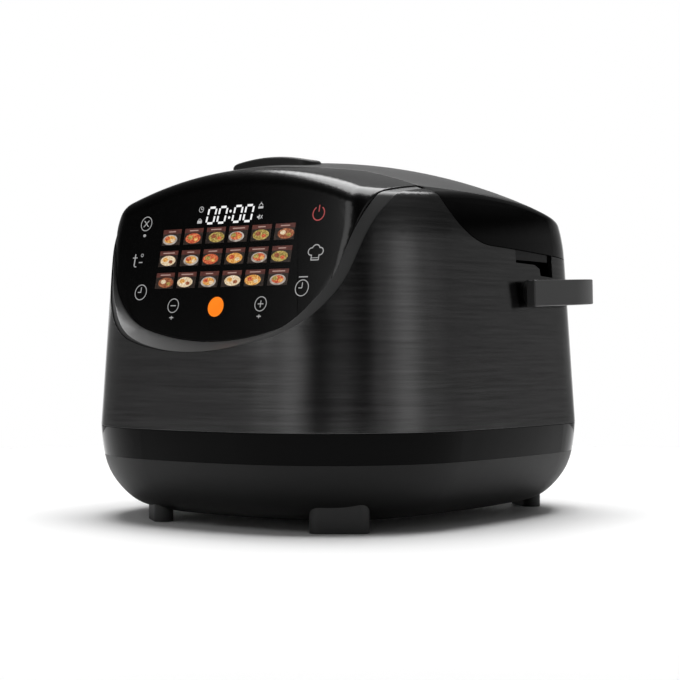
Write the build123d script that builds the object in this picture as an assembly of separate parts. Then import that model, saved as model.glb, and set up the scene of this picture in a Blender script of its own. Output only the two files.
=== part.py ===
"""Electric multicooker with a rear-hinged lid, drawn in millimetres, +Z up, front towards -Y."""
import math
import os

from build123d import *

os.makedirs("parts", exist_ok=True)

# Driving dimensions. Plan positions are measured from the centre of the body plan.
HALF_WIDTH = 145.0
FRONT_Y = -164.3
REAR_Y = 161.8
SIDE_R = 750.0
FRONT_R = 389.0
REAR_R = 344.0
FRONT_CORNER_R = 114.0
REAR_CORNER_R = 93.0
BAND_BOTTOM_Z = 43.8
BAND_TOP_Z = 63.7
FLOOR_Z = 6.5
DOME_Z = 246.0
DOME_Y = -10.0
DOME_RX = 315.0
DOME_RY = 450.0
RIM_R = 17.0
LID_RIM_R = 8.0
HANDLE_TILT = 2.3
PANEL_SLOPE = 0.23
PANEL_Y = -133.8
PANEL_Z = 143.7
POT_Y = 18.0
POT_R = 104.0
WELL_R = 106.0
SLEEVE_R = 113.6
HINGE_Y = 142.0
HINGE_Z = 188.0
POSTS = ((-76, -86), (76, -86), (-80, 104), (80, 104))
PIVOT_Y = 32.0
PIVOT_Z = 154.0
HANDLE_REAR_Y = 181.5
BUTTON_Y = -71.0
BUTTON_L = 72.0
BUTTON_W = 20.0
BUTTON_TOP_Z = 246.4
GAP = 0.4
WALL_SECTIONS = ((43.0, -1.37), (197.0, 8.9), (262.0, 32.5))
SHOULDER_R = 110.0
BAND_SECTIONS = ((43.8, 2.4), (53.0, 1.0), (63.7, 0.0))
BASE_SECTIONS = ((43.8, 2.4), (36.0, 4.6), (28.0, 8.6), (20.0, 14.8), (14.0, 21.4),
                 (9.5, 30.0), (6.5, 42.0))
FRAME_SHIFT = -(FRONT_Y + HANDLE_REAR_Y) / 2


def crossing(c1, r1, c2, r2, right):
    """Point at r1 from c1 and r2 from c2, on the chosen side in X."""
    dx, dy = c2[0] - c1[0], c2[1] - c1[1]
    d = math.hypot(dx, dy)
    a = (r1 * r1 - r2 * r2 + d * d) / (2 * d)
    h = math.sqrt(r1 * r1 - a * a)
    mx, my = c1[0] + a * dx / d, c1[1] + a * dy / d
    p = (mx + h * dy / d, my - h * dx / d)
    q = (mx - h * dy / d, my + h * dx / d)
    return max(p, q) if right else min(p, q)


SIDE_C = (HALF_WIDTH - SIDE_R, 0.0)
FRONT_C = (0.0, FRONT_Y + FRONT_R)
REAR_C = (0.0, REAR_Y - REAR_R)
FC = crossing(SIDE_C, SIDE_R - FRONT_CORNER_R, FRONT_C, FRONT_R - FRONT_CORNER_R, True)
RC = crossing(SIDE_C, SIDE_R - REAR_CORNER_R, REAR_C, REAR_R - REAR_CORNER_R, True)
if FC[1] > 0:
    FC = (FC[0], -FC[1])


def polar(c, toward, r):
    """Point at distance r from c in the direction of a vector."""
    n = math.hypot(*toward)
    return (c[0] + r * toward[0] / n, c[1] + r * toward[1] / n)


def plan(inset, z):
    """Body plan of eight tangent arcs, moved inwards by inset, as a face at height z."""
    side_front = polar(SIDE_C, (FC[0] - SIDE_C[0], FC[1] - SIDE_C[1]), SIDE_R - inset)
    side_rear = polar(SIDE_C, (RC[0] - SIDE_C[0], RC[1] - SIDE_C[1]), SIDE_R - inset)
    front_end = polar(FRONT_C, (FC[0], FC[1] - FRONT_C[1]), FRONT_R - inset)
    rear_end = polar(REAR_C, (RC[0], RC[1] - REAR_C[1]), REAR_R - inset)
    front_mid = polar(FC, (1.0, -0.75), FRONT_CORNER_R - inset)
    rear_mid = polar(RC, (1.0, 0.85), REAR_CORNER_R - inset)
    right = [side_front, (HALF_WIDTH - inset, 0.0), side_rear, rear_mid, rear_end]
    left = [(-x, y) for x, y in right]
    front = (0.0, FRONT_Y + inset)
    rear = (0.0, REAR_Y - inset)
    front_left = (-front_end[0], front_end[1])
    runs = [(front_left, front, front_end), (front_end, front_mid, right[0]),
            (right[0], right[1], right[2]), (right[2], right[3], right[4]),
            (right[4], rear, left[4]), (left[4], left[3], left[2]),
            (left[2], left[1], left[0]), (left[0], (-front_mid[0], front_mid[1]), front_left)]
    edges = [ThreePointArc(*[(x, y, z) for x, y in run]) for run in runs]
    return make_face(edges)


def wall_block(sections, t):
    """Solid through the plan outlines of a list of heights and insets."""
    return loft([plan(inset + t, z) for z, inset in sections])


def wall_form(t):
    """Tapered wall that leans further in above a soft shoulder."""
    form = loft([plan(inset + t, z) for z, inset in WALL_SECTIONS], ruled=True)
    shoulder = [e for e in form.edges() if abs(e.center().Z - WALL_SECTIONS[1][0]) < 0.1]
    return fillet(shoulder, SHOULDER_R)


def dome_block(t):
    """Everything under the crowned top surface."""
    top = DOME_Z - t
    arc_r = DOME_RX - t
    half = 170.0
    drop = arc_r - math.sqrt(arc_r * arc_r - half * half)
    section = Plane.XZ.offset(-DOME_Y) * make_face([
        Line((-half, 20), (half, 20)), Line((half, 20), (half, top - drop)),
        ThreePointArc((half, top - drop), (0, top), (-half, top - drop)),
        Line((-half, top - drop), (-half, 20))])
    axis = Axis((0, DOME_Y, DOME_Z - DOME_RY), (1, 0, 0))
    sweep_angle = 40.0
    return revolve(section.rotate(axis, -sweep_angle), axis, 2 * sweep_angle)


def body(t):
    """Outer form of the upper body without the flat front, moved inwards by t."""
    form = wall_form(t) & dome_block(t)
    rim = [e for e in form.edges() if e.center().Z > 195 and e.bounding_box().min.Z > 170]
    return fillet(rim, LID_RIM_R - t)


BODY = {t: body(t) for t in (0.0, 0.8, 1.0, 2.4, 3.0)}
BIG = 600.0


def slab(z0, z1):
    """Wide horizontal slab."""
    return Pos(0, 0, (z0 + z1) / 2) * Box(BIG, BIG, z1 - z0)


def cyl(x, y, z0, z1, r):
    """Upright cylinder."""
    return Pos(x, y, (z0 + z1) / 2) * Cylinder(r, z1 - z0)


def xcyl(x0, x1, y, z, r):
    """Cylinder along X."""
    return Pos((x0 + x1) / 2, y, z) * Rot(0, 90, 0) * Cylinder(r, x1 - x0)


def ycyl(x, y0, y1, z, r):
    """Cylinder along Y."""
    return Pos(x, (y0 + y1) / 2, z) * Rot(90, 0, 0) * Cylinder(r, y1 - y0)


def block(x0, x1, y0, y1, z0, z1):
    """Box from its limits."""
    return Pos((x0 + x1) / 2, (y0 + y1) / 2, (z0 + z1) / 2) * Box(x1 - x0, y1 - y0, z1 - z0)


def behind_front(t):
    """Everything behind the flat, tilted front plane moved back by t."""
    plane = Plane(origin=(0, PANEL_Y + t, PANEL_Z), x_dir=(1, 0, 0), z_dir=(0, -1, PANEL_SLOPE))
    return plane * Pos(0, 0, -BIG / 2) * Box(BIG, BIG, BIG)


def front_outline(offset, y):
    """Face of the panel outline in front view, grown by offset, at depth y."""
    r1, r2 = 210.0 + offset, 58.0 + offset
    low = 121.0 - offset
    a1, a2 = math.radians(16.0), math.radians(75.3)
    x1, z1 = r1 * math.sin(a1), low + r1 * (1 - math.cos(a1))
    cx, cz = x1 - r2 * math.sin(a1), z1 + r2 * math.cos(a1)
    am = (a1 + a2) / 2
    xm, zm = cx + r2 * math.sin(am), cz - r2 * math.cos(am)
    x2, z2 = cx + r2 * math.sin(a2), cz - r2 * math.cos(a2)
    x3 = x2 + (262.0 - z2) / math.tan(a2)
    edges = [ThreePointArc((-x1, y, z1), (0, y, low), (x1, y, z1)),
             ThreePointArc((x1, y, z1), (xm, y, zm), (x2, y, z2)),
             Line((x2, y, z2), (x3, y, 262.0)), Line((x3, y, 262.0), (-x3, y, 262.0)),
             Line((-x3, y, 262.0), (-x2, y, z2)),
             ThreePointArc((-x2, y, z2), (-xm, y, zm), (-x1, y, z1))]
    return make_face(edges)


def front_prism(offset, y0=-190.0, y1=-60.0):
    """The panel outline carried along Y."""
    return extrude(front_outline(offset, y0), amount=y1 - y0, dir=(0, 1, 0))


def ledge_cut(offset):
    """Cut that flares towards the front and leaves the sloping ledge below the panel."""
    flare = loft([front_outline(offset, -139.0), front_outline(offset + 9.0, -167.0)])
    return flare + front_prism(offset, -139.0, -60.0)


def lid_region(grow):
    """Space that the lid takes, grown by a clearance: side profile plus the round tongue."""
    bend_r = 55.0 + grow
    rise = math.radians(66.0)
    fall = math.atan(0.039)
    vertex = (-51.4, 186.2)
    turn = math.pi - rise - fall
    reach = 55.0 / math.tan(turn / 2)
    start = (vertex[0] + reach * math.cos(fall), vertex[1] - reach * math.sin(fall))
    centre = (start[0] + 55.0 * math.sin(fall), start[1] + 55.0 * math.cos(fall))
    p1 = (centre[0] - bend_r * math.sin(fall), centre[1] - bend_r * math.cos(fall))
    p2 = (centre[0] - bend_r * math.sin(rise), centre[1] - bend_r * math.cos(rise))
    mid_a = (rise - fall) / 2
    pm = (centre[0] - bend_r * math.sin(mid_a + fall), centre[1] - bend_r * math.cos(mid_a + fall))
    p3 = (p2[0] - (262.0 - p2[1]) / math.tan(rise), 262.0)
    p0 = (175.0, p1[1] - (175.0 - p1[0]) * math.tan(fall))
    side = make_face([Line((0, p0[0], p0[1]), (0, p0[0], 262.0)), Line((0, p0[0], 262.0), (0, *p3)),
                      Line((0, *p3), (0, *p2)), ThreePointArc((0, *p2), (0, *pm), (0, *p1)),
                      Line((0, *p1), (0, *p0))])
    region = extrude(side, amount=160.0, dir=(1, 0, 0), both=True)
    top_plane_cut = cyl(0, POT_Y, 150.0, 262.0, 114.0 + grow) & split_above(grow)
    return region + top_plane_cut


def split_above(grow):
    """Everything above the gently falling split plane."""
    low = 184.2 - grow
    face = make_face(Polyline((0, -175, low + 6.83), (0, 175, low - 6.83), (0, 175, 262),
                              (0, -175, 262), (0, -175, low + 6.83)))
    return extrude(face, amount=170.0, dir=(1, 0, 0), both=True)


def crease_above(lift):
    """Everything above the plane where the top cover meets the side band."""
    low = 217.9 + lift
    face = make_face(Polyline((0, -175, low + 10.15), (0, 175, low - 10.15), (0, 175, 300),
                              (0, -175, 300), (0, -175, low + 10.15)))
    return extrude(face, amount=170.0, dir=(1, 0, 0), both=True)


LID = lid_region(0.0)
LID_GAP = lid_region(GAP)
INLET_X = 52.0
INLET_Z = 88.0
CUP_Z = 126.0
HINGE_RECESS = block(-101, 101, 135, 190, 171.5, 200)
LID_HINGE_CUT = (block(-58, 58, 136, 175, 160, 182) + block(46, 54, 136, 175, 160, 194.5)
                 + block(-54, -46, 136, 175, 160, 194.5))


def save(name, shape):
    """Write one part in the finished frame."""
    solids = shape.solids()
    moved = [Pos(0, FRAME_SHIFT, 0) * s for s in solids]
    out = moved[0] if len(moved) == 1 else Compound(children=moved)
    export_step(out, "parts/" + name + ".step")
    print(name, len(solids), all(s.is_valid for s in solids), round(sum(s.volume for s in solids)))


def ring(x, y, z0, z1, r0, r1):
    """Upright ring."""
    return cyl(x, y, z0, z1, r1) - cyl(x, y, z0 - 1, z1 + 1, r0)


def stadium(length, width, z0, z1):
    """Flat-sided block with round ends along X."""
    return extrude(Plane.XY.offset(z0) * SlotOverall(length, width), amount=z1 - z0)


BASE_OUTER = wall_block(BASE_SECTIONS, 0.0)


def base_shell():
    """Moulded bottom bowl with a round service opening and four posts."""
    inner = wall_block(((44.5, 4.9), (36.0, 7.3), (28.0, 11.4), (20.0, 17.8), (14.0, 25.2),
                        (9.0, 36.0)), 0.0)
    shell = BASE_OUTER - inner - cyl(0, 0, 0, 12, 66)
    for x, y in POSTS:
        shell = shell + (cyl(x, y, 8, 57, 5) & (BASE_OUTER + slab(40, 60))) - cyl(x, y, 3, 58, 1.6)
    return shell


def bottom_plate():
    """Vented sheet plate over the service opening."""
    plate = cyl(0, 0, 5.0, 6.5, 76)
    for i in range(-4, 5):
        plate = plate - Pos(i * 11, 0, 5.75) * Box(4, 84 - abs(i) * 7, 4)
    for a in range(45, 360, 90):
        plate = plate - cyl(71 * math.cos(math.radians(a)), 71 * math.sin(math.radians(a)), 4, 8, 1.7)
    return plate


def foot(x, y, angle, length):
    """One foot block shaped to the curved underside."""
    blank = Pos(x, y, 0) * Rot(0, 0, angle) * stadium(length, 13, 0, 24)
    return blank - BASE_OUTER


def feet():
    """Four feet."""
    return Compound(children=[foot(88, -116, 37, 38), foot(-60, -122, -37, 34),
                              foot(80, 124, -37, 34), foot(-80, 124, 37, 34)])


def gloss_band():
    """Glossy ring between the bottom bowl and the metal wrap."""
    inner = wall_block(((42.0, 5.0), (53.0, 3.4), (66.0, 2.4)), 0.0)
    return (wall_block(BAND_SECTIONS, 0.0) & slab(43.9, 63.5)) - inner


def side_notch(grow):
    """J-shaped slot high on each side, in side view, right side."""
    face = make_face(Polyline((120, 16 - grow, 190), (120, 16 - grow, 174.5 - grow),
                              (120, 42, 174.0 - grow), (120, 49 - grow, 171.5),
                              (120, 50 - grow, 166.8 - grow), (120, 69 + grow, 166 - grow),
                              (120, 69 + grow, 190), (120, 16 - grow, 190)))
    return extrude(face, amount=30, dir=(1, 0, 0))


NOTCHES = side_notch(0.0) + mirror(side_notch(0.0), about=Plane.YZ)
NOTCH_BARS = block(-150, -110, 10, 63, 176.4, 190) + block(110, 150, 10, 63, 176.4, 190)
REAR_CUTS = (block(INLET_X - 17, INLET_X + 17, 130, 175, INLET_Z - 13, INLET_Z + 13)
             + block(-30, 30, 130, 175, CUP_Z - 16, CUP_Z + 16))
PIVOT_HOLES = xcyl(-160, 160, PIVOT_Y, PIVOT_Z, 9.0)


def outer_wrap():
    """Thin brushed metal sleeve open to the control panel and the lid."""
    shell = ((BODY[0.0] - BODY[0.8]) & slab(BAND_TOP_Z + 0.1, 262)) - front_prism(6.8)
    shell = shell - LID_GAP - NOTCHES - REAR_CUTS - HINGE_RECESS
    return shell - PIVOT_HOLES


def upper_housing():
    """Moulded inner body: liner behind the wrap, deck under the lid and pot sleeve."""
    liner = (BODY[1.0] - BODY[3.0]) & slab(64.5, 262)
    liner = liner - front_prism(15.0) - REAR_CUTS - (NOTCHES - NOTCH_BARS)
    deck = BODY[3.0] & lid_region(2.8) & slab(168, 262) & behind_front(4.5)
    sleeve = cyl(0, POT_Y, 168, 192, SLEEVE_R + 2.2)
    skin = liner + deck + sleeve - LID_GAP - cyl(0, POT_Y, 150, 200, SLEEVE_R)
    skin = skin - block(-9, 9, -110, -90, 205.5, 213)
    rest = ring(0, POT_Y, 168, 170.5, WELL_R + 1.2, SLEEVE_R + 1)
    floor = (block(-104, 104, 133.4, 160, 169.9, 171.5) + block(-104, 104, 133.4, 135, 170, 177))
    return (skin + rest + (floor & BODY[2.4])) - HINGE_RECESS - PIVOT_HOLES


def panel_trim():
    """Frame round the control panel with the sloping ledge below it."""
    strip = ((BODY[1.0] - BODY[3.0]) & front_prism(14.5)) - front_prism(0.3)
    shelf = (ledge_cut(2.4) & BODY[1.0]) - behind_front(3.0)
    return (strip + shelf) - ledge_cut(0.0) - front_prism(0.3) - LID_GAP


def on_front(p, t):
    """Whether a point lies on the flat front plane moved back by t."""
    return abs(p.Y - PANEL_Y - t - PANEL_SLOPE * (p.Z - PANEL_Z)) < 1.5


def front_form(t):
    """Upper body cut by the flat front plane, with its upper edges rounded."""
    form = wall_form(t) & dome_block(t) & behind_front(t)
    edges = form.edges()
    front = [e for e in edges if on_front(e.center(), t) and e.center().Z > 90
             and (abs(e.center().X) > 80 or e.center().Z > 200)]
    rim = [e for e in edges if e.center().Z > 195 and e.bounding_box().min.Z > 170
           and not on_front(e.center(), t)]
    return fillet(front + rim, RIM_R - t)


def control_panel():
    """Glossy front panel that runs over the top edge as far as the lid seam."""
    shell = (front_form(0.0) - front_form(2.4)) & front_prism(0.0)
    return (shell & slab(120, 262)) - LID_GAP - block(-200, 200, -60, 200, 100, 300)


def plane_box(x0, x1, z0, z1, depth0, depth1):
    """Box lying against the back of the tilted front plane, limits in mm."""
    plane = Plane(origin=(0, PANEL_Y, PANEL_Z), x_dir=(1, 0, 0), z_dir=(0, 1, -PANEL_SLOPE))
    lean = math.cos(math.atan(PANEL_SLOPE))
    low, high = (PANEL_Z - z0) / lean, (PANEL_Z - z1) / lean
    local = Pos((x0 + x1) / 2, (low + high) / 2, (depth0 + depth1) / 2)
    return plane * local * Box(x1 - x0, abs(high - low), depth1 - depth0)


def touch_board():
    """Touch sensor board on the back of the panel."""
    return plane_box(-72, 72, 140, 208, 6.0, 7.6) - plane_box(-52, 52, 152, 198, 5, 9)


def display_module():
    """Backlit display behind the panel window."""
    return plane_box(-50, 50, 153, 197, 2.9, 9.0)


def power_board():
    """Main board with its relay, transformer and capacitors."""
    board = block(-62, 62, -126, -90, 66, 67.6)
    for x0, x1, y0, y1, h in ((-56, -34, -120, -100, 18), (-26, -8, -118, -98, 15),
                              (2, 14, -116, -104, 22), (24, 54, -120, -98, 14)):
        board = board + block(x0, x1, y0, y1, 67, 67.6 + h)
    return board


def inner_well():
    """Sheet metal heat shield round the pot."""
    wall = ring(0, POT_Y, 30, 172.2, WELL_R, WELL_R + 0.8)
    floor = ring(0, POT_Y, 30, 30.8, 30, WELL_R + 0.8)
    lip = ring(0, POT_Y, 171.4, 172.2, WELL_R, SLEEVE_R - 0.4)
    return wall + floor + lip


def well_ring():
    """Silicone ring that carries the pot rim."""
    return ring(0, POT_Y, 172.3, 175.2, WELL_R - 1.2, WELL_R + 5.0)


def heating_plate():
    """Cast aluminium heating plate with a hole for the temperature sensor."""
    plate = cyl(0, POT_Y, 34, 43.2, 80) - cyl(0, POT_Y, 30, 50, 16)
    tube = Pos(0, POT_Y, 36.5) * Torus(58, 5)
    return plate + (tube - cyl(0, POT_Y, 30, 50, 16))


def plate_stand():
    """Three legs that carry the heating plate on the well floor."""
    legs = [cyl(72 * math.cos(math.radians(a)), POT_Y + 72 * math.sin(math.radians(a)), 30.9,
                33.9, 5) for a in (30, 150, 270)]
    return Compound(children=legs)


def side_heater():
    """Band heater wrapped round the well."""
    return ring(0, POT_Y, 96, 122, WELL_R + 0.9, WELL_R + 2.1)


def inner_pot():
    """Removable cooking pot with a rolled rim."""
    outer = fillet(cyl(0, POT_Y, 43.6, 176.0, POT_R - 0.6).edges().group_by(Axis.Z)[0], 16)
    inner = fillet(cyl(0, POT_Y, 45.2, 178.0, POT_R - 2.2).edges().group_by(Axis.Z)[0], 14.4)
    rim = ring(0, POT_Y, 175.4, 177.0, POT_R - 2.2, WELL_R + 5.4)
    return (outer + rim) - inner


def sensor_plunger():
    """Spring-loaded temperature sensor in the middle of the heating plate."""
    head = cyl(0, POT_Y, 39.0, 43.4, 13.0)
    return head + cyl(0, POT_Y, 22, 40, 3.0)


def sensor_guide():
    """Bracket that guides the sensor stem."""
    arm = block(-36, 36, POT_Y - 7, POT_Y + 7, 28.5, 30.0)
    return arm - cyl(0, POT_Y, 27, 31, 3.08)


def coil_spring(x, y, z0, z1, r, wire, turns):
    """Compression spring."""
    height = z1 - z0 - wire
    path = Helix(pitch=height / turns, height=height, radius=r)
    start = path @ 0
    tangent = path % 0
    profile = Plane(origin=start, z_dir=tangent) * Circle(wire / 2)
    return Pos(x, y, z0 + wire / 2) * sweep(profile, path=path, is_frenet=True)


def power_inlet():
    """Appliance inlet with three pins."""
    x, z = INLET_X, INLET_Z
    shell = block(x - 16.7, x + 16.7, 130, 151, z - 12.7, z + 12.7)
    shell = shell - block(x - 12, x + 12, 136, 152, z - 8, z + 8)
    for dx, dz in ((-7, -2), (0, 3), (7, -2)):
        shell = shell + block(x + dx - 1, x + dx + 1, 134, 147, z + dz - 2, z + dz + 2)
    return shell


def cup_holder():
    """Fixed pocket for the condensate cup."""
    z = CUP_Z
    shell = block(-29.7, 29.7, 131.5, 154, z - 15.7, z + 15.7)
    return shell - block(-27.5, 27.5, 133.5, 160, z - 13.5, z + 13.5)


def condensate_cup():
    """Removable cup that catches condensed water."""
    z = CUP_Z
    body_block = block(-27, 27, 134, 153, z - 13, z + 13)
    body_block = body_block - block(-25.4, 25.4, 135.6, 151.4, z - 11.4, z + 14)
    grip = block(-12, 12, 153, 156.2, z + 6, z + 9)
    return body_block + block(-27, 27, 151.4, 153, z - 13, z + 13) + grip


def hinge_bracket():
    """Steel bracket that holds the hinge pin."""
    bracket = block(-56, 56, 136, 148, 172.6, 174)
    for x in (-50, 50):
        bracket = bracket + block(x - 3, x + 3, 138, 146, 173, HINGE_Z)
        bracket = bracket + xcyl(x - 3, x + 3, HINGE_Y, HINGE_Z, 5.0)
    return bracket - xcyl(-70, 70, HINGE_Y, HINGE_Z, 2.52)


def hinge_pin():
    """Steel hinge pin."""
    return xcyl(-55, 55, HINGE_Y, HINGE_Z, 2.5)


def hinge_spring(side):
    """Torsion spring that lifts the lid, drawn as its wound body."""
    coil = xcyl(24 * side - 9, 24 * side + 9, HINGE_Y, HINGE_Z, 5.2)
    return coil - xcyl(-60, 60, HINGE_Y, HINGE_Z, 3.4)


def pivot_boss(side):
    """Bushing in the body side for the carry handle."""
    boss = xcyl(130.0, 140.6, PIVOT_Y, PIVOT_Z, 8.8) - xcyl(125, 142, PIVOT_Y, PIVOT_Z, 4.6)
    return boss if side > 0 else mirror(boss, about=Plane.YZ)


def lid_top_cover():
    """Satin top shell of the lid."""
    shell = (BODY[0.0] - BODY[2.4]) & LID & crease_above(0.0)
    shell = shell - Pos(0, BUTTON_Y, 0) * stadium(BUTTON_L + 0.8, BUTTON_W + 0.8, 200, 262)
    shell = shell - cyl(0, 82, 200, 262, 24.4)
    seat = ring(0, 82, 222, 238, 24.4, 26.4) & BODY[0.0]
    return shell + seat


def lid_side_band():
    """Glossy side band of the lid."""
    below = LID - crease_above(0.0)
    return ((BODY[0.0] - BODY[2.4]) & below) - LID_HINGE_CUT


def lid_frame():
    """Moulded underside of the lid: skin, recess for the inner lid and hinge knuckles."""
    frame = BODY[2.4] & (LID - lid_region(-2.2)) & slab(160, 232)
    frame = frame - cyl(0, POT_Y, 160, 200, 101) - LID_HINGE_CUT
    frame = frame + ring(0, POT_Y, 179.0, 190.4, 101, 103) + cyl(0, POT_Y, 184.5, 186, 101.5)
    frame = frame + cyl(0, POT_Y, 179.0, 185, 5) - cyl(0, 82, 180, 190, 11.2)
    for x in (-39.5, 39.5):
        arm = block(x - 5, x + 5, 122, HINGE_Y, 177, 186) & LID
        frame = frame + arm + xcyl(x - 5, x + 5, HINGE_Y, HINGE_Z, 5.0)
    frame = frame - xcyl(-60, 60, HINGE_Y, HINGE_Z, 2.56)
    return frame - block(-8, 8, -110, -80, 206, 212.5)


def inner_lid_plate():
    """Pressed aluminium inner lid with steam holes."""
    plate = cyl(0, POT_Y, 177.7, 178.9, 99.5)
    for a in range(0, 360, 60):
        x, y = 30 * math.cos(math.radians(a)), 30 * math.sin(math.radians(a))
        plate = plate - cyl(x, POT_Y + y, 170, 184, 3)
    return plate - cyl(0, 82, 170, 184, 8)


def lid_gasket():
    """Silicone sealing ring that meets the pot rim."""
    return ring(0, POT_Y, 177.3, 178.9, 99.6, 108.0)


def steam_duct():
    """Duct from the inner lid plate to the steam valve seat."""
    tube = ring(0, 82, 179.0, 222, 9, 11)
    return tube + ring(0, 82, 222, 224, 9, 24.2)


def steam_valve_cap():
    """Lift-out steam valve with a slotted top."""
    top = 236.0
    cap = cyl(0, 82, top - 3, top, 23.9) + ring(0, 82, 224.2, top - 2, 12, 14)
    for i in (-2, -1, 0, 1, 2):
        cap = cap - block(i * 6 - 1.2, i * 6 + 1.2, 72, 92, top - 5, top + 1)
    return cap


def release_button():
    """Lid release button standing proud of the top cover."""
    cap = Pos(0, BUTTON_Y, 0) * stadium(BUTTON_L, BUTTON_W, 234.0, 260.0)
    cap = cap & ycyl(0, -120, -20, BUTTON_TOP_Z - 150, 150)
    cap = fillet(cap.edges().filter_by(lambda e: e.center().Z > 241), 2.4)
    return cap + cyl(0, BUTTON_Y, 222, 235, 4)


def button_frame():
    """Guide plate under the button."""
    plate = Pos(0, BUTTON_Y, 0) * stadium(BUTTON_L + 5, BUTTON_W + 5, 226.6, 228.2)
    return (plate & BODY[2.4] & lid_region(-3.0)) - cyl(0, BUTTON_Y, 220, 232, 4.4)


def latch_bolt():
    """Spring bolt that holds the lid shut in the head of the body."""
    bolt = block(-7.5, 7.5, -99.0, -62, 206.5, 212)
    return bolt + block(-5, 5, -68, -62, 206.5, 220)


def carry_handle():
    """Bail handle folded back behind the body."""
    outer = FilletPolyline((149.0, 21.5), (144.6, HANDLE_REAR_Y), (-144.6, HANDLE_REAR_Y),
                           (-149.0, 21.5), radius=104)
    inner = FilletPolyline((142.0, 21.5), (137.6, HANDLE_REAR_Y - 7), (-137.6, HANDLE_REAR_Y - 7),
                           (-142.0, 21.5), radius=97)
    edges = outer.edges() + inner.edges()
    edges = edges + [Line(outer @ 0, inner @ 0), Line(outer @ 1, inner @ 1)]
    bail = Pos(0, 0, PIVOT_Z - 9) * extrude(make_face(edges), amount=18)
    bail = fillet(bail.edges().filter_by(Axis.Z), 1.0)
    bail = bail.rotate(Axis((0, PIVOT_Y, PIVOT_Z), (1, 0, 0)), HANDLE_TILT)
    for s in (-1, 1):
        bail = bail + xcyl(min(s * 131, s * 146), max(s * 131, s * 146), PIVOT_Y, PIVOT_Z, 4.5)
    return bail


def screws(points, z0, z1, head_r, shank_r):
    """Screws driven upwards, heads at z0."""
    return Compound(children=[cyl(x, y, z0 - 2, z0, head_r) + cyl(x, y, z0 - 1, z1, shank_r)
                              for x, y in points])



save("base_shell", base_shell())
save("bottom_plate", bottom_plate())
save("feet", feet())
save("gloss_band", gloss_band())
save("outer_wrap", outer_wrap())
save("upper_housing", upper_housing())
save("panel_trim", panel_trim())
save("control_panel", control_panel())

save("touch_board", touch_board())
save("display_module", display_module())
save("power_board", power_board())
save("inner_well", inner_well())
save("well_ring", well_ring())
save("heating_plate", heating_plate())
save("plate_stand", plate_stand())
save("side_heater", side_heater())
save("inner_pot", inner_pot())
save("sensor_plunger", sensor_plunger())
save("sensor_guide", sensor_guide())
save("sensor_spring", coil_spring(0, POT_Y, 30.0, 38.8, 5.5, 1.0, 4))
save("power_inlet", power_inlet())
save("cup_holder", cup_holder())
save("condensate_cup", condensate_cup())
save("hinge_bracket", hinge_bracket())
save("hinge_pin", hinge_pin())
save("hinge_spring_left", hinge_spring(-1))
save("hinge_spring_right", hinge_spring(1))
save("pivot_boss_right", pivot_boss(1))
save("pivot_boss_left", pivot_boss(-1))
save("lid_top_cover", lid_top_cover())
save("lid_side_band", lid_side_band())
save("lid_frame", lid_frame())
save("inner_lid_plate", inner_lid_plate())
save("lid_gasket", lid_gasket())
save("steam_duct", steam_duct())
save("steam_valve_cap", steam_valve_cap())
save("release_button", release_button())
save("button_frame", button_frame())
save("button_spring", coil_spring(0, BUTTON_Y, 228.4, 233.8, 6.0, 0.8, 3))
save("latch_bolt", latch_bolt())
save("carry_handle", carry_handle())
save("base_screws", screws(POSTS, 6.5, 40, 4.0, 1.5))
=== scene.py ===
"""Electric multicooker: the finished look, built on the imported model."""
import math

import bpy
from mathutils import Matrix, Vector


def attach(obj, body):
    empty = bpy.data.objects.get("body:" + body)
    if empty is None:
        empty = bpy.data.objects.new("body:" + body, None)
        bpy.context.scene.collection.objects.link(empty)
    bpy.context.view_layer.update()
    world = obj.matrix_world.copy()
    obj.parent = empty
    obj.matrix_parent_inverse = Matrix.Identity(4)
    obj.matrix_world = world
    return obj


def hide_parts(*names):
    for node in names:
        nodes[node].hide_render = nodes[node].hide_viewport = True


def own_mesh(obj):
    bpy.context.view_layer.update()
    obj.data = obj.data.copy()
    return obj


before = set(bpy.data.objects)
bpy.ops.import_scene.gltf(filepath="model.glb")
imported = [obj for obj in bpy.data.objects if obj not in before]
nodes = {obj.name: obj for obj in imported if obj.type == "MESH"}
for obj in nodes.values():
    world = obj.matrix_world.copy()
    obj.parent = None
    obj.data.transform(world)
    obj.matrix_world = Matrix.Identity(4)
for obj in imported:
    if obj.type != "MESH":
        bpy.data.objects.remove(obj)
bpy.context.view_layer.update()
bpy.ops.object.select_all(action="DESELECT")

# Camera and studio ------------------------------------------------------------------------------
# A level product shot from the front right, on a pale table with a white wall behind it.
SHIFT_Y = -0.0086
VIEW_TURN = math.radians(37.3)
bpy.ops.object.camera_add(location=(0.7328, -0.9620 + SHIFT_Y, 0.116),
                          rotation=(math.radians(90), 0, VIEW_TURN))
camera = bpy.context.object
camera.data.lens = 89.36
camera.data.sensor_width = 36
camera.data.shift_x = 0.0004
camera.data.shift_y = 0.0135
bpy.context.scene.camera = camera
bpy.context.scene.view_settings.view_transform = "Standard"


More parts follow.
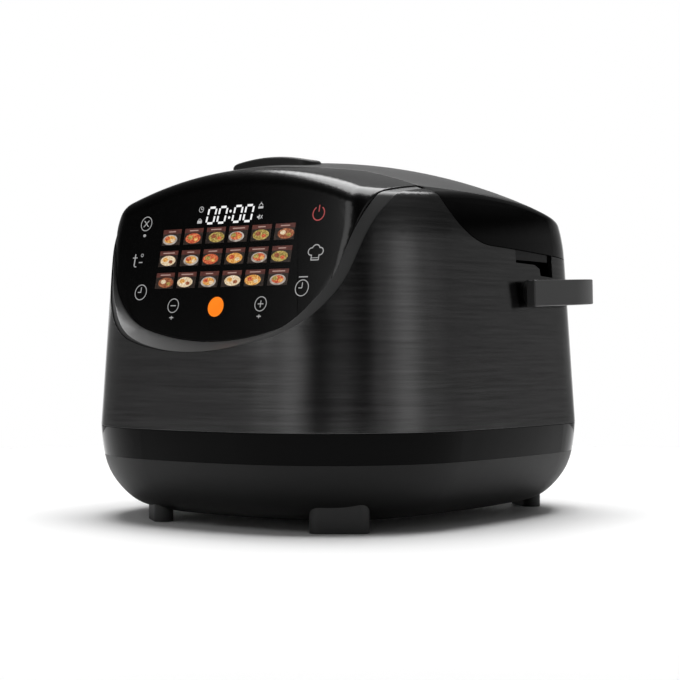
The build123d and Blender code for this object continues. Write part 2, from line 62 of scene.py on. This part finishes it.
class Wire:
    """A value inside a node tree that can be used in ordinary arithmetic."""

    def __init__(self, tree, socket):
        self.tree, self.socket = tree, socket

    def math(self, operation, *others, swap=False):
        node = self.tree.nodes.new("ShaderNodeMath")
        node.operation = operation
        values = [self, *others]
        if swap:
            values.reverse()
        for socket, value in zip(node.inputs, values):
            if isinstance(value, Wire):
                self.tree.links.new(value.socket, socket)
            else:
                socket.default_value = value
        return Wire(self.tree, node.outputs[0])

    def __add__(self, other): return self.math("ADD", other)
    def __radd__(self, other): return self.math("ADD", other, swap=True)
    def __sub__(self, other): return self.math("SUBTRACT", other)
    def __rsub__(self, other): return self.math("SUBTRACT", other, swap=True)
    def __mul__(self, other): return self.math("MULTIPLY", other)
    def __rmul__(self, other): return self.math("MULTIPLY", other, swap=True)
    def __gt__(self, other): return self.math("GREATER_THAN", other)


class Tree:
    """A node tree being filled; add() makes any node from its settings and inputs."""

    def __init__(self, tree):
        self.tree = tree

    def add(self, kind, settings=(), out=0, **inputs):
        node = self.tree.nodes.new(kind)
        settings = dict(settings)
        stops = settings.pop("stops", None)
        if stops:
            ramp = node.color_ramp
            ramp.interpolation = settings.pop("interpolation", "LINEAR")
            while len(ramp.elements) < len(stops):
                ramp.elements.new(0.5)
            for element, (place, colour) in zip(ramp.elements, stops):
                element.position = place
                element.color = (*colour, 1)
        for key, value in settings.items():
            setattr(node, key, value)
        for key, value in inputs.items():
            socket = node.inputs[int(key[1:])] if key[0] == "i" and key[1:].isdigit() \
                else node.inputs[key.replace("_", " ")]
            if isinstance(value, Wire):
                self.tree.links.new(value.socket, socket)
            else:
                socket.default_value = value
        return Wire(self.tree, node.outputs[out])


def grey(value):
    return (value, value, value)


# The room round the table, as rings of light by height: bright behind the object, darker cards
# beside the camera, one bright card to its left and one to its right, little from above.
world = bpy.data.worlds.new("studio")
bpy.context.scene.world = world
world.use_nodes = True
world.node_tree.nodes.clear()
room = Tree(world.node_tree)
ray = room.add("ShaderNodeTexCoord")
split = room.tree.nodes.new("ShaderNodeSeparateXYZ")
room.tree.links.new(ray.socket, split.inputs[0])
east, north, up = (Wire(room.tree, s) for s in split.outputs)
ahead = east * math.sin(VIEW_TURN) - north * math.cos(VIEW_TURN)
aside = east * math.cos(VIEW_TURN) + north * math.sin(VIEW_TURN)
turn = aside.math("ARCTAN2", ahead) * (1 / (2 * math.pi)) + 0.5


def ring(*stops):
    """Light level by direction in degrees: 0 is the camera's side, positive to its right."""
    return room.add("ShaderNodeValToRGB", dict(interpolation="EASE", stops=[
        ((angle + 180) / 360, grey(level)) for angle, level in stops]), Fac=turn)


rings = [
    (-0.03, ring((-180, 1), (-166, 1), (-155, 0.3), (-100, 0.05), (-14, 0.02), (-6, 0.25),
                 (8, 1.5), (22, 0.3), (32, 0.03), (75, 0.03), (110, 0.2), (155, 0.3),
                 (166, 1), (180, 1))),
    (0.02, ring((-180, 1), (-166, 1), (-155, 0.4), (-100, 0.34), (-60, 0.36), (-42, 0.62),
                (-26, 1.1), (-8, 0.01), (24, 0.01), (36, 0.5), (54, 1.2), (72, 0.5),
                (95, 0.34), (125, 0.5), (155, 0.5), (166, 1), (180, 1))),
    (0.20, ring((-180, 1), (-166, 1), (-155, 0.3), (-100, 0.34), (-60, 0.36), (-42, 0.62),
                (-26, 1.1), (-8, 0.01), (24, 0.01), (36, 0.4), (54, 1.1), (72, 0.5),
                (95, 0.32), (125, 0.35), (155, 0.4), (166, 1), (180, 1))),
    (0.32, ring((-180, 0.3), (-150, 0.1), (-125, 0.05), (-90, 0.01), (-60, 0.02), (-40, 0.25),
                (-26, 0.4), (-8, 0.02), (22, 0.02), (50, 0.3), (90, 0.05), (125, 0.04),
                (155, 0.2), (180, 0.3))),
    (0.50, ring((-180, 0.2), (-150, 0.05), (-90, 0.01), (0, 0.02), (60, 0.1), (100, 0.15),
                (125, 0.3), (160, 0.4), (175, 0.3), (180, 0.2))),
    (0.80, ring((-180, 0.10), (-120, 0.02), (0, 0.03), (80, 0.3), (140, 0.5), (180, 0.10))),
]
height, shade = rings[0]
for next_height, next_shade in rings[1:]:
    rise = room.add("ShaderNodeMapRange", dict(interpolation_type="SMOOTHSTEP"), Value=up,
                    From_Min=height, From_Max=next_height)
    shade = room.add("ShaderNodeMix", dict(data_type="RGBA"), out=2, i0=rise, i6=shade,
                     i7=next_shade)
    height = next_height
back = room.tree.nodes.new("ShaderNodeBackground")
room.tree.links.new(shade.socket, back.inputs["Color"])
back.inputs["Strength"].default_value = 1.0
output = room.tree.nodes.new("ShaderNodeOutputWorld")
room.tree.links.new(back.outputs[0], output.inputs[0])


def soft_box(name, at, aim, size, power):
    """One rectangular soft box turned towards a point."""
    bpy.ops.object.light_add(type="AREA", location=at)
    lamp = bpy.context.object
    lamp.name = name
    lamp.data.shape = "RECTANGLE"
    lamp.data.size, lamp.data.size_y = size
    lamp.data.energy = power
    lamp.rotation_euler = (Vector(aim) - Vector(at)).to_track_quat("-Z", "Y").to_euler()


soft_box("overhead", (-0.1, 0.25, 1.6), (0, 0.05, 0), (1.4, 1.4), 44)
soft_box("panel_card", (-0.10, -0.60, 0.42), (0.095, -0.15, 0.2), (0.28, 0.30), 0.5)


# Materials. One that several pieces share is made where the first of them is dressed.
SHARP = math.radians(38)
SMOOTH = math.radians(35)


class Finish(Tree):
    """A Principled material whose constants sit on the shader itself."""

    def __init__(self, name, base, roughness, metallic=0.0, **constants):
        self.material = bpy.data.materials.new(name)
        self.material.use_nodes = True
        super().__init__(self.material.node_tree)
        self.shader = self.tree.nodes["Principled BSDF"]
        self.put("Base Color", (*base, 1))
        self.put("Roughness", roughness)
        self.put("Metallic", metallic)
        for key, value in constants.items():
            self.put(key.replace("_", " "), value)

    def put(self, socket, value):
        if isinstance(value, Wire):
            self.tree.links.new(value.socket, self.shader.inputs[socket])
        else:
            self.shader.inputs[socket].default_value = value

    def place(self, scale=(1, 1, 1)):
        """Object coordinates, stretched."""
        return self.add("ShaderNodeMapping", i0=self.add("ShaderNodeTexCoord", out=3), Scale=scale)

    def noise(self, scale, stretch=(1, 1, 1), detail=3.0, roughness=0.5):
        return self.add("ShaderNodeTexNoise", Vector=self.place(stretch), Scale=scale,
                        Detail=detail, Roughness=roughness)

    def tint(self, mask, dark, light):
        """Base colour that runs between two colours."""
        self.put("Base Color", self.add("ShaderNodeMix", dict(data_type="RGBA"), out=2, i0=mask,
                                        i6=(*dark, 1), i7=(*light, 1)))

    def relief(self, height, strength, distance):
        self.put("Normal", self.add("ShaderNodeBump", Height=height, Strength=strength,
                                    Distance=distance))


def dress(finish, *names):
    """Gives CAD nodes a finish in place of their packed one."""
    for name in names:
        for slot in nodes[name].material_slots:
            slot.material = finish.material


def copied(name, ending):
    """A copy of a CAD node that can be worked on and then stand for it."""
    bpy.ops.object.select_all(action="DESELECT")
    nodes[name].select_set(True)
    bpy.context.view_layer.objects.active = nodes[name]
    bpy.ops.object.duplicate()
    piece = bpy.context.object
    piece.name = name + ending
    return piece


def softened(finish, name, body, width):
    """Stands for a CAD node: its triangles merged, its sharp edges rounded, smooth shaded."""
    piece = copied(name, "_soft")
    bpy.ops.object.mode_set(mode="EDIT")
    bpy.ops.mesh.select_all(action="SELECT")
    bpy.ops.mesh.remove_doubles(threshold=0.00001)
    bpy.ops.mesh.normals_make_consistent(inside=False)
    bpy.ops.object.mode_set(mode="OBJECT")
    bevel = piece.modifiers.new("edge", "BEVEL")
    bevel.limit_method = "ANGLE"
    bevel.angle_limit = SHARP
    bevel.width = width
    bevel.segments = 2
    bevel.use_clamp_overlap = False
    bpy.ops.object.modifier_apply(modifier="edge")
    bpy.ops.object.shade_smooth_by_angle(angle=SMOOTH)
    piece.modifiers.new("flow", "WEIGHTED_NORMAL").keep_sharp = True
    bpy.ops.object.modifier_apply(modifier="flow")
    piece.data.materials.clear()
    piece.data.materials.append(finish.material)
    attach(piece, body)
    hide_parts(name)
    return piece


# Table ------------------------------------------------------------------------------------------
# A plain round white table top with an eased rim. Its upper face is at height zero.
TABLE_RADIUS, TABLE_THICK = 0.85, 0.03
bpy.ops.mesh.primitive_cylinder_add(vertices=128, radius=TABLE_RADIUS, depth=TABLE_THICK,
                                    location=(0, 0, -TABLE_THICK / 2))
table = bpy.context.object
table.name = "table"
rim = table.modifiers.new("rim", "BEVEL")
rim.width, rim.segments = 0.004, 3
bpy.ops.object.modifier_apply(modifier="rim")
bpy.ops.object.transform_apply(location=True, rotation=True, scale=True)
table_finish = Finish("pale_table", grey(0.86), 0.6, Specular_IOR_Level=0.1)
table_finish.put("Roughness", 0.56 + table_finish.noise(40) * 0.08)
table.data.materials.append(table_finish.material)

# Bottom bowl ------------------------------------------------------------------------------------
# Injection-moulded black bowl with a fine spark-eroded grain, screwed up from below.
moulded = Finish("moulded_black", grey(0.005), 0.42, Specular_IOR_Level=0.2)
grain = moulded.noise(1.0, (2600, 2600, 2600), 2.0)
moulded.put("Roughness", 0.36 + grain * 0.14)
moulded.relief(grain, 0.12, 0.0002)
dress(moulded, "base_shell", "upper_housing", "cup_holder", "power_inlet", "pivot_boss_left",
      "pivot_boss_right", "steam_duct", "button_frame", "latch_bolt", "lid_frame")
sheet_black = Finish("black_sheet", grey(0.03), 0.5, 0.6)
sheet_black.relief(sheet_black.noise(900), 0.1, 0.0002)
dress(sheet_black, "bottom_plate")
foot_rubber = Finish("foot_rubber", grey(0.014), 0.6)
foot_rubber.relief(foot_rubber.noise(1400), 0.15, 0.0002)
dress(foot_rubber, "feet")

# Rating plate -----------------------------------------------------------------------------------
# Thin printed foil stuck to the flat underside, with plain lines where the data would be.
PLATE_SIZE = (0.050, 0.016, 0.0003)
PLATE_AT = (0, -0.097, 0.0063)
bpy.ops.mesh.primitive_cube_add(size=1, location=PLATE_AT)
plate = bpy.context.object
plate.name = "rating_plate"
plate.scale = PLATE_SIZE
bpy.ops.object.transform_apply(location=True, rotation=True, scale=True)
bpy.ops.object.mode_set(mode="EDIT")
bpy.ops.mesh.select_all(action="SELECT")
bpy.ops.mesh.bevel(offset=0.0015, segments=4, affect="EDGES")
bpy.ops.object.mode_set(mode="OBJECT")
foil = Finish("rating_foil", grey(0.5), 0.35, 0.9)
rows = foil.add("ShaderNodeTexWave", dict(bands_direction="Y"), Vector=foil.place(), Scale=95.0)
columns = foil.noise(1.0, (300, 2, 2), 1.0)
foil.tint((rows > 0.7) * (columns > 0.42), grey(0.5), grey(0.03))
plate.data.materials.append(foil.material)
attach(plate, "housing")

# Gloss band -------------------------------------------------------------------------------------
# Polished black ring clipped over the joint between the bowl and the sleeve.
piano = Finish("polished_black", grey(0.001), 0.06, Specular_IOR_Level=0.05)
ripple = piano.noise(14, (1, 1, 1), 2.0)
piano.put("Roughness", 0.05 + ripple * 0.03)
dress(piano, "gloss_band", "lid_side_band")

# Inner well and pot -----------------------------------------------------------------------------
# Drawn aluminium heat shield, cast heating plate and a coated pot on a silicone ring.
drawn = Finish("drawn_aluminium", grey(0.62), 0.32, 1.0)
rolled = drawn.noise(1.0, (30, 30, 1600), 2.0)
drawn.put("Roughness", 0.26 + rolled * 0.16)
dress(drawn, "inner_well", "inner_lid_plate")
cast = Finish("cast_aluminium", grey(0.55), 0.45, 1.0)
cast.relief(cast.noise(700), 0.3, 0.0004)
dress(cast, "heating_plate", "sensor_plunger")
coated = Finish("pot_coating", grey(0.035), 0.34, 0.3)
coated.relief(coated.noise(1200), 0.1, 0.0002)
dress(coated, "inner_pot")
# Level marks: five lines screened on the inside wall of the pot, every other one short. Each
# is turned a little about the pot's own axis.
POT_Y = 0.018 + SHIFT_Y
MARK_RADIUS = 0.1017
MARK_TURN = math.radians(3)
LONG_MARK, SHORT_MARK, MARK_DEEP, MARK_TALL = 0.014, 0.0095, 0.0003, 0.0007
LOWEST_MARK, MARK_STEP = 0.072, 0.02
level_print = Finish("level_print", grey(0.45), 0.5)
level_print.put("Roughness", 0.45 + level_print.noise(900) * 0.1)
for step in range(5):
    bpy.ops.mesh.primitive_cube_add(size=1, location=(0, MARK_RADIUS, 0))
    mark = bpy.context.object
    mark.scale = (SHORT_MARK if step % 2 else LONG_MARK, MARK_DEEP, MARK_TALL)
    bpy.ops.object.transform_apply(location=True, rotation=True, scale=True)
    edge = mark.modifiers.new("edge", "BEVEL")
    edge.width, edge.segments = 0.00008, 2
    bpy.ops.object.modifier_apply(modifier="edge")
    mark.rotation_euler = (0, 0, MARK_TURN)
    mark.location = (0, POT_Y, LOWEST_MARK + MARK_STEP * step)
    bpy.ops.object.transform_apply(location=True, rotation=True, scale=True)
    mark.name = "pot_level_%d" % step
    mark.data.materials.append(level_print.material)
    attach(mark, "housing")
silicone = Finish("grey_silicone", grey(0.32), 0.5)
silicone.put("Roughness", 0.45 + silicone.noise(400) * 0.1)
dress(silicone, "well_ring", "lid_gasket")
zinc = Finish("zinc_steel", grey(0.6), 0.3, 1.0)
zinc.put("Roughness", 0.25 + zinc.noise(800) * 0.15)
dress(zinc, "hinge_bracket", "hinge_pin", "hinge_spring_left", "hinge_spring_right",
      "plate_stand", "sensor_guide", "sensor_spring", "button_spring", "base_screws")
# The two coil springs are copied onto meshes of their own and attached to the housing and the lid
# in place of their CAD nodes; they are not shortened.
BUTTON_Y = -0.071 + SHIFT_Y
for name, body, joint, foot, length in (
        ("sensor_spring", "housing", "sensor_travel", (0, POT_Y, 0.0300), 0.0088),
        ("button_spring", "lid", "release_button", (0, BUTTON_Y, 0.2284), 0.0054)):
    coil = copied(name, "_coil")
    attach(coil, body)
    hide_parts(name)
    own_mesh(coil)
mica = Finish("mica_band", (0.5, 0.44, 0.34), 0.7)
mica.put("Roughness", 0.6 + mica.noise(600) * 0.2)
dress(mica, "side_heater")
board = Finish("board_green", (0.02, 0.12, 0.05), 0.4)
board.tint(board.noise(300), (0.015, 0.10, 0.04), (0.03, 0.15, 0.06))
dress(board, "touch_board", "power_board")
module = Finish("display_module", grey(0.02), 0.2)
module.put("Roughness", 0.15 + module.noise(60) * 0.1)
dress(module, "display_module")

# Metal sleeve -----------------------------------------------------------------------------------
# Dark coated steel sheet, brushed along its length, rolled round the body in one piece.
brushed = Finish("brushed_dark_steel", grey(0.085), 0.34, 1.0)
strokes = brushed.noise(1.0, (14, 14, 520), 3.0, 0.6)
fine = brushed.noise(1.0, (50, 50, 2600), 2.0)
mix_strokes = strokes * 0.6 + fine * 0.4
brushed.tint((mix_strokes - 0.5) * 1.9 + 0.5, grey(0.050), grey(0.120))
brushed.put("Specular Tint", (0.6, 0.6, 0.6, 1))
brushed.put("Roughness", 0.15 + mix_strokes * 0.10)
brushed.put("Anisotropic", 0.8)
brushed.put("Anisotropic Rotation", 0.25)
brushed.relief(fine, 0.05, 0.0002)
softened(brushed, "outer_wrap", "housing", 0.0003)

# Panel frame ------------------------------------------------------------------------------------
# Satin moulded frame between the sleeve and the panel, with a sloping ledge under the panel.
frame_satin = Finish("frame_satin", grey(0.075), 0.4, 0.7)
frame_satin.put("Roughness", 0.38 + frame_satin.noise(900) * 0.08)
softened(frame_satin, "panel_trim", "housing", 0.0003)

# Control panel ----------------------------------------------------------------------------------
# One smoked moulding that is the whole front of the head, its face satin with a deep black body.
smoked = Finish("smoked_panel", grey(0.0004), 0.2, Specular_IOR_Level=0.4)
smoked.put("Roughness", 0.20 + smoked.noise(30) * 0.04)
softened(smoked, "control_panel", "housing", 0.0007)

# Panel graphics ---------------------------------------------------------------------------------
# Symbols and pictures lit through the panel. They are drawn flat, with x across and y up the
# panel, as one thin layer each, then leaned back with its face and set on it.
LEAN = math.radians(77.05)
KEY_Z = 143.7
PANEL_ORIGIN = Vector((0, -0.1338 + SHIFT_Y, KEY_Z / 1000))
INK = 0.00012


def glow(name, colour, strength=1.0):
    """A backlit print: black body with its own, slightly uneven light."""
    finish = Finish(name, grey(0.01), 0.3)
    cloud = finish.noise(160)
    finish.put("Roughness", 0.25 + cloud * 0.1)
    finish.put("Emission Color", finish.add(
        "ShaderNodeMix", dict(data_type="RGBA"), out=2, i0=cloud,
        i6=(*(0.88 * part for part in colour), 1), i7=(*(1.12 * part for part in colour), 1)))
    finish.put("Emission Strength", strength)
    return finish


def bar(x0, y0, x1, y1, width, height=INK):
    """A stroke from one point to another, millimetres."""
    bpy.ops.mesh.primitive_cube_add(size=1, location=((x0 + x1) / 2000, (y0 + y1) / 2000, 0),
                                    rotation=(0, 0, math.atan2(y1 - y0, x1 - x0)))
    piece = bpy.context.object
    piece.scale = ((math.hypot(x1 - x0, y1 - y0) + width * 0.4) / 1000, width / 1000, height)
    return piece


def hoop(x, y, radius, width):
    """A thin flat ring."""
    bpy.ops.mesh.primitive_torus_add(location=(x / 1000, y / 1000, 0), major_segments=48,
                                     minor_segments=6, major_radius=radius / 1000,
                                     minor_radius=width / 2000)
    piece = bpy.context.object
    piece.scale = (1, 1, INK * 1000 / width)
    return piece


def arc(x, y, radius, start, end, width, steps=9):
    """Part of a ring as a chain of strokes."""
    corners = [(x + radius * math.cos(math.radians(start + (end - start) * i / steps)),
                y + radius * math.sin(math.radians(start + (end - start) * i / steps)))
               for i in range(steps + 1)]
    return [bar(*corners[i], *corners[i + 1], width) for i in range(steps)]


def dot(x, y, radius_x, radius_y, height=INK):
    """A filled disc or ellipse."""
    bpy.ops.mesh.primitive_cylinder_add(vertices=40, radius=0.001, depth=height,
                                        location=(x / 1000, y / 1000, 0))
    piece = bpy.context.object
    piece.scale = (radius_x, radius_y, 1)
    return piece


def joined(pieces, name):
    """Pieces made one mesh with its place in its vertices."""
    bpy.ops.object.select_all(action="DESELECT")
    for piece in pieces:
        piece.select_set(True)
    bpy.context.view_layer.objects.active = pieces[0]
    bpy.ops.object.join()
    piece = bpy.context.object
    bpy.ops.object.transform_apply(location=True, rotation=True, scale=True)
    piece.name = name
    return piece


def on_panel(pieces, name, finish, lift=0.00004):
    """Joins flat pieces, leans them back with the panel and lets them ride the housing."""
    piece = joined(pieces, name)
    edge = piece.modifiers.new("edge", "BEVEL")
    edge.width, edge.segments = INK / 4, 1
    bpy.ops.object.modifier_apply(modifier="edge")
    piece.rotation_euler = (LEAN, 0, 0)
    piece.location = PANEL_ORIGIN + Vector((0, -math.sin(LEAN), math.cos(LEAN))) * lift
    bpy.ops.object.transform_apply(location=True, rotation=True, scale=True)
    piece.data.materials.clear()
    piece.data.materials.append(finish.material)
    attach(piece, "housing")
    return piece


def up_panel(z):
    """Distance up the panel from the round key, for a height above the table."""
    return (z - KEY_Z) / math.sin(LEAN)


# Touch symbols: pale rings and strokes, with a small mark under some of them.
line_glow = glow("symbol_light", grey(0.36))
marks = []
for x, sign in ((-38, "minus"), (38, "plus")):
    y = up_panel(145)
    marks += [hoop(x, y, 4.7, 0.6), bar(x - 2.2, y, x + 2.2, y, 0.6),
              bar(x - 1.6, y - 8.2, x + 1.6, y - 8.2, 0.7), bar(x, y - 9.4, x, y - 7.2, 0.6)]
    if sign == "plus":
        marks.append(bar(x, y - 2.2, x, y + 2.2, 0.6))
for x in (-70, 70):
    y = up_panel(154.6)
    marks += [hoop(x, y, 5.2, 0.65), bar(x, y, x, y + 3.4, 0.6), bar(x, y, x - 2.6, y, 0.6)]
marks += [bar(66.5, up_panel(154.6) + 7.2, 73.5, up_panel(154.6) + 7.2, 0.7)]
y = up_panel(177)
marks += [bar(-80.5, y - 3.5, -80.5, y + 4, 0.9), bar(-82.5, y + 1.6, -78.6, y + 1.6, 0.7),
          *arc(-79, y - 3.2, 1.6, 180, 290, 0.7, 5), hoop(-74.2, y + 3.2, 1.0, 0.5),
          bar(-76.2, y - 1.8, -73.2, y - 1.8, 0.7)]
marks += [*arc(77, y + 1.8, 3.2, 20, 160, 0.65), *arc(73.4, y + 0.6, 2.4, 80, 280, 0.65),
          *arc(80.6, y + 0.6, 2.4, -100, 100, 0.65), bar(74, y - 1.6, 74, y - 5, 0.65),
          bar(80, y - 1.6, 80, y - 5, 0.65), bar(74, y - 5, 80, y - 5, 0.65),
          bar(74.4, y - 3.6, 79.6, y - 3.6, 0.4)]
y = up_panel(202)
marks += [hoop(-75, y, 4.9, 0.6), bar(-77.1, y - 2.1, -72.9, y + 2.1, 0.6),
          bar(-77.1, y + 2.1, -72.9, y - 2.1, 0.6), dot(-75, y - 8.4, 1.3, 1.0)]
on_panel(marks, "touch_symbols", line_glow)
power_glow = glow("power_light", (0.36, 0.05, 0.05))
on_panel([*arc(75, up_panel(202), 4.6, 125, 415, 0.75, 18),
          bar(75, up_panel(202) + 1.2, 75, up_panel(202) + 5.4, 0.75)], "power_symbol", power_glow)
key_glow = glow("key_light", (1.0, 0.22, 0.0))
on_panel([dot(0, 0, 6.7, 6.7)], "round_key", key_glow)

# Clock display: four seven-bar figures and a colon, with four small state symbols beside them.
digit_glow = glow("digit_light", grey(0.92))
segments = []
y = up_panel(205)
for x in (-16.2, -6.6, 6.6, 16.2):
    for side in (-3.2, 3.2):
        segments += [bar(x + side + 0.2, y + 0.9, x + side + 0.5, y + 4.3, 1.4),
                     bar(x + side - 0.5, y - 4.3, x + side - 0.2, y - 0.9, 1.4)]
    segments += [bar(x - 2.0 + tip, y + level, x + 2.0 + tip, y + level, 1.5)
                 for level, tip in ((5.4, 0.4), (-5.4, -0.4))]
segments += [dot(0.2, y + 2.2, 0.9, 0.9), dot(-0.2, y - 2.2, 0.9, 0.9)]
on_panel(segments, "clock_figures", digit_glow)
y_high, y_low = up_panel(209.5), up_panel(202)
small = [hoop(-26, y_high, 1.9, 0.45), bar(-26, y_high, -26, y_high + 1.2, 0.45),
         bar(-26, y_high, -25, y_high, 0.45),
         bar(-27.6, y_low - 1, -24.4, y_low - 1, 2.0), *arc(-26, y_low, 1.2, 0, 180, 0.4, 5),
         bar(24.2, y_high - 1.2, 27.8, y_high - 1.2, 1.4), *arc(26, y_high, 1.5, 0, 180, 0.4, 5),
         bar(26, y_high + 1.6, 26, y_high + 2.4, 0.5),
         bar(24.3, y_low, 25.3, y_low, 1.2), bar(25.8, y_low - 1.3, 25.8, y_low + 1.3, 0.9),
         bar(27, y_low - 1.1, 28.6, y_low + 1.1, 0.4), bar(27, y_low + 1.1, 28.6, y_low - 1.1, 0.4)]
on_panel(small, "state_symbols", glow("state_light", grey(0.5)))

# Programme pictures: three rows of six tiles, each a dish on a dark cloth under a red label
# strip with plain dashes where the name would be.
def food(name, low, middle, high, scale):
    """A backlit picture of food: lumps of three colours."""
    finish = Finish(name, grey(0.01), 0.3)
    lumps = finish.add("ShaderNodeTexVoronoi", Vector=finish.place(), Scale=scale)
    grain = finish.noise(scale * 1.7, (1, 1, 1), 3.0)
    finish.put("Emission Color", finish.add(
        "ShaderNodeValToRGB", dict(stops=((0.25, low), (0.5, middle), (0.78, high))),
        Fac=lumps * 0.45 + grain * 0.6))
    finish.put("Emission Strength", 1.0)
    return finish


cloth = food("tile_cloth", (0.002, 0.001, 0.001), (0.010, 0.005, 0.003), (0.05, 0.03, 0.02), 900)
strip_glow = food("tile_label", (0.045, 0.010, 0.008), (0.075, 0.018, 0.013), (0.11, 0.03, 0.02),
                  400)
dash_glow = glow("label_dashes", (0.40, 0.26, 0.22))
plate_glow = food("tile_plates", (0.16, 0.13, 0.11), (0.36, 0.31, 0.27), (0.62, 0.57, 0.51), 240)
dishes = [
    food("dish_golden", (0.30, 0.08, 0.01), (0.62, 0.26, 0.04), (0.90, 0.62, 0.25), 900),
    food("dish_roast", (0.06, 0.012, 0.006), (0.24, 0.06, 0.02), (0.52, 0.22, 0.10), 700),
    food("dish_red", (0.20, 0.02, 0.01), (0.48, 0.06, 0.02), (0.80, 0.32, 0.12), 800),
    food("dish_pale", (0.42, 0.26, 0.12), (0.68, 0.52, 0.32), (0.90, 0.82, 0.66), 1000),
    food("dish_green", (0.05, 0.07, 0.01), (0.30, 0.20, 0.04), (0.62, 0.50, 0.16), 800),
]
TILE_W, TILE_H, TILE_STEP = 16.4, 10.9, 19.7
LABEL_RISE, LABEL_H, DASH_H = 3.95, 3.0, 0.75
cloths, strips, dashes, plates, foods = [], [], [], [], [[] for _ in dishes]
for row, z in enumerate((191.5, 176.9, 162.0)):
    for column in range(6):
        x, y = (column - 2.5) * TILE_STEP, up_panel(z)
        choice = (column * 2 + row * 3 + column // 3) % len(dishes)
        cloths.append(bar(x - TILE_W / 2, y, x + TILE_W / 2, y, TILE_H))
        cloths[-1].scale[0] = TILE_W / 1000
        strips.append(bar(x - TILE_W / 2, y + LABEL_RISE, x + TILE_W / 2, y + LABEL_RISE, LABEL_H,
                          INK * 1.6))
        strips[-1].scale[0] = TILE_W / 1000
        reach = 3.0 + (column * 5 + row * 3) % 4 * 0.7
        dashes.append(bar(x - reach, y + LABEL_RISE, x + reach, y + LABEL_RISE, DASH_H, INK * 2.0))
        slide = ((column + row) % 3 - 1) * 1.2
        served = (column + row * 2) % 3 == 0
        if served:
            plates.append(dot(x + slide, y - 1.7, 6.6, 3.5, INK * 1.6))
        foods[choice].append(dot(x + slide, y - 1.4, 5.0 if served else 6.8,
                                 2.6 if served else 3.5, INK * 2.2))
        foods[(choice + 2) % len(dishes)].append(
            dot(x + slide - 2.4, y - 0.7, 2.3, 1.5, INK * 2.6))
        foods[(choice + 3) % len(dishes)].append(
            dot(x + slide + 2.6, y - 2.2, 1.9, 1.2, INK * 2.6))
on_panel(cloths, "tile_grounds", cloth)
on_panel(strips, "tile_labels", strip_glow)
on_panel(dashes, "tile_dashes", dash_glow)
on_panel(plates, "tile_plates", plate_glow)
for dish, discs in zip(dishes, foods):
    on_panel(discs, "tiles_" + dish.material.name, dish)

# Lid --------------------------------------------------------------------------------------------
# Satin top shell, with the button and the steam valve in the same moulding grade.
satin = Finish("lid_satin", grey(0.018), 0.4, Specular_IOR_Level=0.3)
satin_grain = satin.noise(1.0, (1800, 1800, 1800), 2.0)
satin.put("Roughness", 0.36 + satin_grain * 0.10)
satin.relief(satin_grain, 0.05, 0.0002)
softened(satin, "lid_top_cover", "lid", 0.0004)
softened(satin, "release_button", "button", 0.0004)
softened(satin, "steam_valve_cap", "steam_valve", 0.0004)

# Condensate cup and handle ----------------------------------------------------------------------
# Frosted cup clipped on the rear; the bail is one solid satin moulding.
frosted = Finish("frosted_cup", grey(0.2), 0.35)
frosted.put("Roughness", 0.3 + frosted.noise(500) * 0.1)
dress(frosted, "condensate_cup")
handle_satin = Finish("handle_satin", grey(0.03), 0.36)
handle_grain = handle_satin.noise(1.0, (2000, 2000, 2000), 2.0)
handle_satin.put("Roughness", 0.32 + handle_grain * 0.1)
handle_satin.relief(handle_grain, 0.06, 0.0002)
softened(handle_satin, "carry_handle", "handle", 0.0008)
